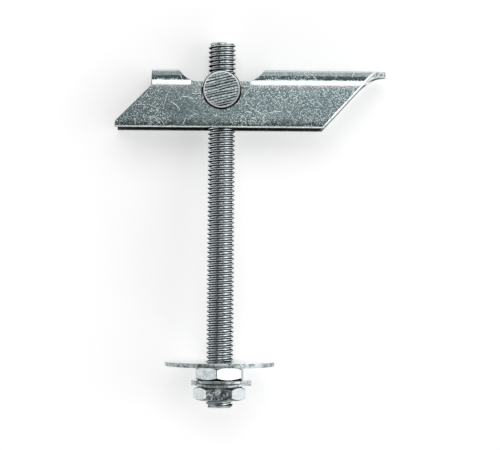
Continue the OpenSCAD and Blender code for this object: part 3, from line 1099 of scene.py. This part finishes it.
def sawn_steel():
    """Cross nut: a painted highlight round each end face's rim, painted shade on its outer
    chamfers, and sawn ends with a mark at each stroke.
    """
    material, tree, shader, place, facing = new_material("sawn_steel")
    u = measured(tree, place, LAID_TURN @ SAW_ACROSS)
    v = measured(tree, place, LAID_TURN @ SAW_ALONG)
    drawn_out = combined(tree, X=u, Y=times(tree, v, STROKE_LENGTH))
    uneven = noise_fac(tree, drawn_out, 1.6, 3, 0.65)
    phase = maths(tree, "ADD", times(tree, u, 2 * pi / SAW_SPACING),
                  times(tree, uneven, STROKE_WANDER))
    strokes = smooth(tree, maths(tree, "SINE", phase), *STROKE_CUT)
    colour = blend(tree, strokes, *SAWN_TONES)
    colour = shaded(tree, colour, smooth(tree, uneven, 0.3, 0.7, 0.6, 1.15))
    colour = grainy(tree, place, colour, 0.55, 1.3)
    from_middle = length(tree, combined(tree, X=u, Y=v))
    # Painted highlight: a pale ring round the edge of each end face.
    rim = stripe(tree, from_middle, *RIM_HIGHLIGHT_LINE)
    outside = smooth(tree, from_middle, *RIM_OUTSIDE)
    sloping = smooth(tree, share_along(tree, facing, PIN_AXIS), *SAWN_SLOPE_LEAN)
    # Painted shade: the outer chamfer is painted near-black.
    colour = coated(tree, colour, (rim, SAWN_RIM_HIGHLIGHT), (outside, SAWN_SIDE),
                    (times(tree, outside, sloping), SAWN_CHAMFER_SHADE))
    plug(tree, shader, {
        "Base Color": colour, "Roughness": from_to(tree, strokes, 0.45, 0.3),
        "Metallic": from_to(tree, rim, SHEET_METAL, MARK_METAL),
        "Normal": bump(tree, strokes, *STROKE_BUMP)})
    return material


BAR_STEEL = bar_steel()
# Painted highlight: the bevels on the nose and the long outer edges are given a pale steel.
EDGE_HIGHLIGHT_TONES = (0.74, 0.79, 0.79), (0.88, 0.91, 0.91)
EDGE_STEEL = bevel_steel("bar_edge_highlight_steel", EDGE_HIGHLIGHT_TONES, 0.24, 0.2, 0.3, 0.35)
# Painted shade: the bevels on the sheared and inner edges are given a near-black steel.
RIM_SHADE_TONES = (0.03, 0.04, 0.04), (0.12, 0.15, 0.15)
RIM_STEEL = bevel_steel("bar_rim_shade_steel", RIM_SHADE_TONES, 0.4, 0.1, 0.3, 0.5)
WASHER_STEEL = washer_steel()
CLAMPING_NUT_STEEL = nut_steel("clamping_nut_steel", 0.05, 0.1, 0.15, 0.0, 0.0)
# The lock nut's upper flat carries most of the painted dark reflection.
LOCK_NUT_STEEL = nut_steel("lock_nut_steel", 0.5, 0.5, 0.7, 0.9, 0.7)
THREAD_STEEL = thread_steel()
SAWN_STEEL = sawn_steel()


# ---- The pieces
def make_washers():
    panel = washer_mesh(WIDE_D / 2, WIDE_T, WIDE_Z, 0.2, 1.0)
    plain = washer_mesh(SMALL_D / 2, FLAT_T, FLAT_Z, 0.12, 4.0, SMALL_SHIFT)
    wave = washer_mesh(SMALL_D / 2, WAVE_T, WAVE_Z, 0.1, 8.0, SMALL_SHIFT, WAVE_RISE, WAVE_TURN)
    washers = (("panel_washer", panel, "wide_washer", "wide_washer"),
               ("plain_washer", plain, "lock_washers", "flat_washer"),
               ("three_wave_washer", wave, "lock_washers", "wave_washer"))
    return [finish_piece(name, form, body, cad_node, WASHER_STEEL)
            for name, form, body, cad_node in washers]


def make_nuts():
    nuts = (("clamping_nut", UPPER_NUT_Z, UPPER_NUT_TURN, "upper_nut", CLAMPING_NUT_STEEL),
            ("lock_nut", LOWER_NUT_Z, LOWER_NUT_TURN, "lower_nut", LOCK_NUT_STEEL))
    return [finish_piece(name, nut_mesh(low, turn), body, body, steel, 25)
            for name, low, turn, body, steel in nuts]


def make_pieces():
    finish_piece("rod_thread", rod_mesh(), "rod", "threaded_rod", THREAD_STEEL, 60)
    bar = finish_piece("folded_bar", bar_mesh(), "bar", "toggle_bar", BAR_STEEL, 40)
    round_sheet_edges(bar)
    punch_cradle_marks(bar)
    cross = finish_piece("sawn_cross_nut", cross_nut_mesh(), "pivot", "pivot_nut",
                         SAWN_STEEL)
    bore_cross_nut(cross)
    saw_faces(cross)
    for piece in [bar] + make_washers() + make_nuts():
        flatten_faces(piece)


# ---- Floor, room, lights and camera
FLOOR_HALF = 3.0
FLOOR_COLOUR = (0.86, 0.86, 0.86)
FLOOR_GLOW = 0.42  # lifts the floor to white, to the eye and in the steel
FLOOR_FADE = (0.4, 1.2)  # metres out, from the floor's tone to white
WHITE = (1, 1, 1)

# Shares of the room's brightness, by direction: from, to, value at each. z is up, y runs up the
# rod to the bar, and x runs along the bar.
ROOM_BY_Z = (0.25, 0.9, 1.1, 0.25)
ROOM_FAR_LEFT = (-0.5, -0.9, 1.0, 0.72)
ROOM_BY_X = (-0.18, 0.12, 0.6, 1.4)
STRIP_BY_Y = (0.08, 0.18, 0.2, 1.0)  # a dark strip, from overhead to the lower end
STRIP_BY_X = (0.2, 0.45)
CARD_BY_Y = (0.5, 0.75)
CARD_BY_Z = (0.12, 0.25)
CARD_LOW, CARD_MORE = 0.4, 0.55

LAMP_DISTANCE = 0.7
# Each box: the axis it leans towards, by how many degrees, its size in metres, its brightness.
LAMPS = (("overhead_box", "Y", 36.5, 0.48, 0.4, 2.35),
         ("front_box", "Y", -66, 0.9, 0.3, 1.3),
         ("right_box", "X", 52, 0.3, 0.5, 1.5),
         ("left_box", "X", -68, 0.22, 0.5, 0.45))

CAMERA_AT = Vector((6.2, -387.3, -43.1))
CAMERA_YAW, CAMERA_PITCH, CAMERA_ROLL = (radians(a) for a in (0.03, -2.03, 0.45))
FOCAL_PX = 1763.3
IMAGE_W = 500
CLIP_START = 0.01


def make_floor():
    """Pale floor that fades to white in the distance and keeps the bolt's shadow."""
    bm = bmesh.new()
    bmesh.ops.create_grid(bm, x_segments=1, y_segments=1, size=FLOOR_HALF)
    floor = add_mesh("floor", bm)
    material = bpy.data.materials.new("pale_floor")
    tree = empty_tree(material)
    rays = node(tree, "LightPath").outputs
    place = node(tree, "TexCoord").outputs["Object"]
    fade = smooth(tree, length(tree, place), *FLOOR_FADE, FLOOR_GLOW, 1.0)
    to_eye = times(tree, rays["Is Camera Ray"], fade)
    to_steel = times(tree, rays["Is Glossy Ray"], FLOOR_GLOW)
    strength = maths(tree, "ADD", to_eye, to_steel)
    glow = node(tree, "Emission", {"Color": WHITE, "Strength": strength})
    diffuse = node(tree, "BsdfDiffuse", {"Color": FLOOR_COLOUR})
    both = node(tree, "AddShader", {0: diffuse.outputs[0], 1: glow.outputs[0]})
    node(tree, "OutputMaterial", {"Surface": both.outputs[0]})
    floor.data.materials.append(material)


def make_room():
    """Grey studio with a dark card low beyond the bar. To the eye it is white."""
    world = bpy.data.worlds.new("studio")
    bpy.context.scene.world = world
    tree = empty_tree(world)
    ray = node(tree, "TexCoord").outputs["Generated"]
    x, y, z = node(tree, "SeparateXYZ", {"Vector": ray}).outputs
    sides = times(tree, smooth(tree, x, *ROOM_FAR_LEFT), smooth(tree, x, *ROOM_BY_X))
    strip = most(tree, smooth(tree, y, *STRIP_BY_Y),
                 smooth(tree, size_of(tree, x), *STRIP_BY_X))
    low_card = maths(tree, "ADD", times(tree, smooth(tree, z, *CARD_BY_Z), CARD_MORE), CARD_LOW)
    card = times(tree, smooth(tree, y, *CARD_BY_Y), low_card)
    grey = times(tree, smooth(tree, z, *ROOM_BY_Z), sides, strip, minus(tree, 1.0, card))
    to_eye = node(tree, "LightPath").outputs["Is Camera Ray"]
    seen = node(tree, "Mix", {0: to_eye, 2: grey, 3: 1.0}).outputs[0]
    back = node(tree, "Background", {"Color": WHITE, "Strength": seen})
    node(tree, "OutputWorld", {"Surface": back.outputs[0]})


def tilted_box(name, towards, angle, width, height, brightness):
    """A soft light on the bolt, tilted from straight up towards an axis by an angle."""
    light = bpy.data.lights.new(name, "AREA")
    light.shape = "RECTANGLE"
    light.size = width
    light.size_y = height
    light.energy = brightness * pi * width * height
    lamp = add_object(name, light)
    lean = radians(angle)
    side = Vector((1, 0, 0) if towards == "X" else (0, 1, 0))
    direction = side * sin(lean) + UP * cos(lean)
    lamp.location = direction * LAMP_DISTANCE
    lamp.rotation_euler = direction.to_track_quat("Z", "Y").to_euler()


def make_camera():
    """The camera stands where it would if the bolt hung upright, and is laid down with it."""
    yaw = Matrix.Rotation(CAMERA_YAW, 3, "Z")
    pitch = Matrix.Rotation(CAMERA_PITCH, 3, "X")
    roll = Matrix.Rotation(CAMERA_ROLL, 3, "Y")
    right, forward, up = (Vector(row) for row in roll @ pitch @ yaw)
    turn = Matrix((right, up, -forward)).transposed()
    camera = bpy.data.cameras.new("camera")
    camera.sensor_fit = "HORIZONTAL"
    camera.lens = camera.sensor_width * FOCAL_PX / IMAGE_W
    camera.clip_start = CLIP_START
    eye = add_object("camera", camera)
    eye.matrix_world = Matrix.Translation(LAID @ CAMERA_AT) @ (LAID_TURN @ turn).to_4x4()
    bpy.context.scene.camera = eye


make_pieces()
make_floor()
make_room()
for lamp in LAMPS:
    tilted_box(*lamp)
make_camera()
bpy.context.scene.view_settings.view_transform = "Standard"
